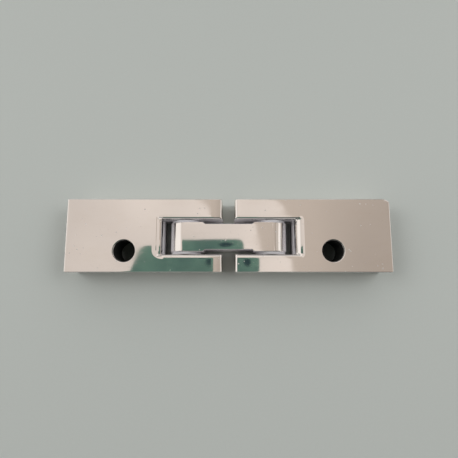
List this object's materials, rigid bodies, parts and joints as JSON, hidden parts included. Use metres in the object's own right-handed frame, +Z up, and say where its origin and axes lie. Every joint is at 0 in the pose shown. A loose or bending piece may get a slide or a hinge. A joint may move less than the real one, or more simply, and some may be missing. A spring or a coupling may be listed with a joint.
{
  "type": "shower door hinge",
  "caption": "Double-pivot hinge: mirror-image forked metal blocks with through-holes, joined by a dog-bone link on cross pins; folds flat either way.",
  "frame": {"origin": "centre of the underside of the box round the hinge lying flat and straight", "axes": "+X from the left block to the right block, +Z up through the thickness, +Y towards the wider arm of each fork, away from the fixing holes"},
  "size_m": [0.15, 0.034, 0.015],
  "materials": {
    "polished_metal": "polished",
    "ground_steel": "satin",
    "black_screw": "satin",
    "bush_plastic": "matte",
    "washer_plastic": "satin"
  },
  "bodies": {
    "left_half": {"left_block": "polished_metal", "left_pin": "ground_steel", "left_upper_grub_screw": "black_screw", "left_lower_grub_screw": "black_screw"},
    "link_group": {"link": "polished_metal", "left_upper_bush": "bush_plastic", "left_upper_washer": "washer_plastic", "left_lower_bush": "bush_plastic", "left_lower_washer": "washer_plastic", "right_upper_bush": "bush_plastic", "right_upper_washer": "washer_plastic", "right_lower_bush": "bush_plastic", "right_lower_washer": "washer_plastic"},
    "right_half": {"right_block": "polished_metal", "right_pin": "ground_steel", "right_upper_grub_screw": "black_screw", "right_lower_grub_screw": "black_screw"}
  },
  "joints": [
    {"name": "left_pivot", "type": "hinge", "parent": "left_half", "child": "link_group", "pos_m": [-0.02, 0, 0.0075], "axis": [0, 1, 0], "range_deg": [-90, 90]},
    {"name": "right_pivot", "type": "hinge", "parent": "link_group", "child": "right_half", "pos_m": [0.02, 0, 0.0075], "axis": [0, 1, 0], "range_deg": [-90, 90]}
  ]
}
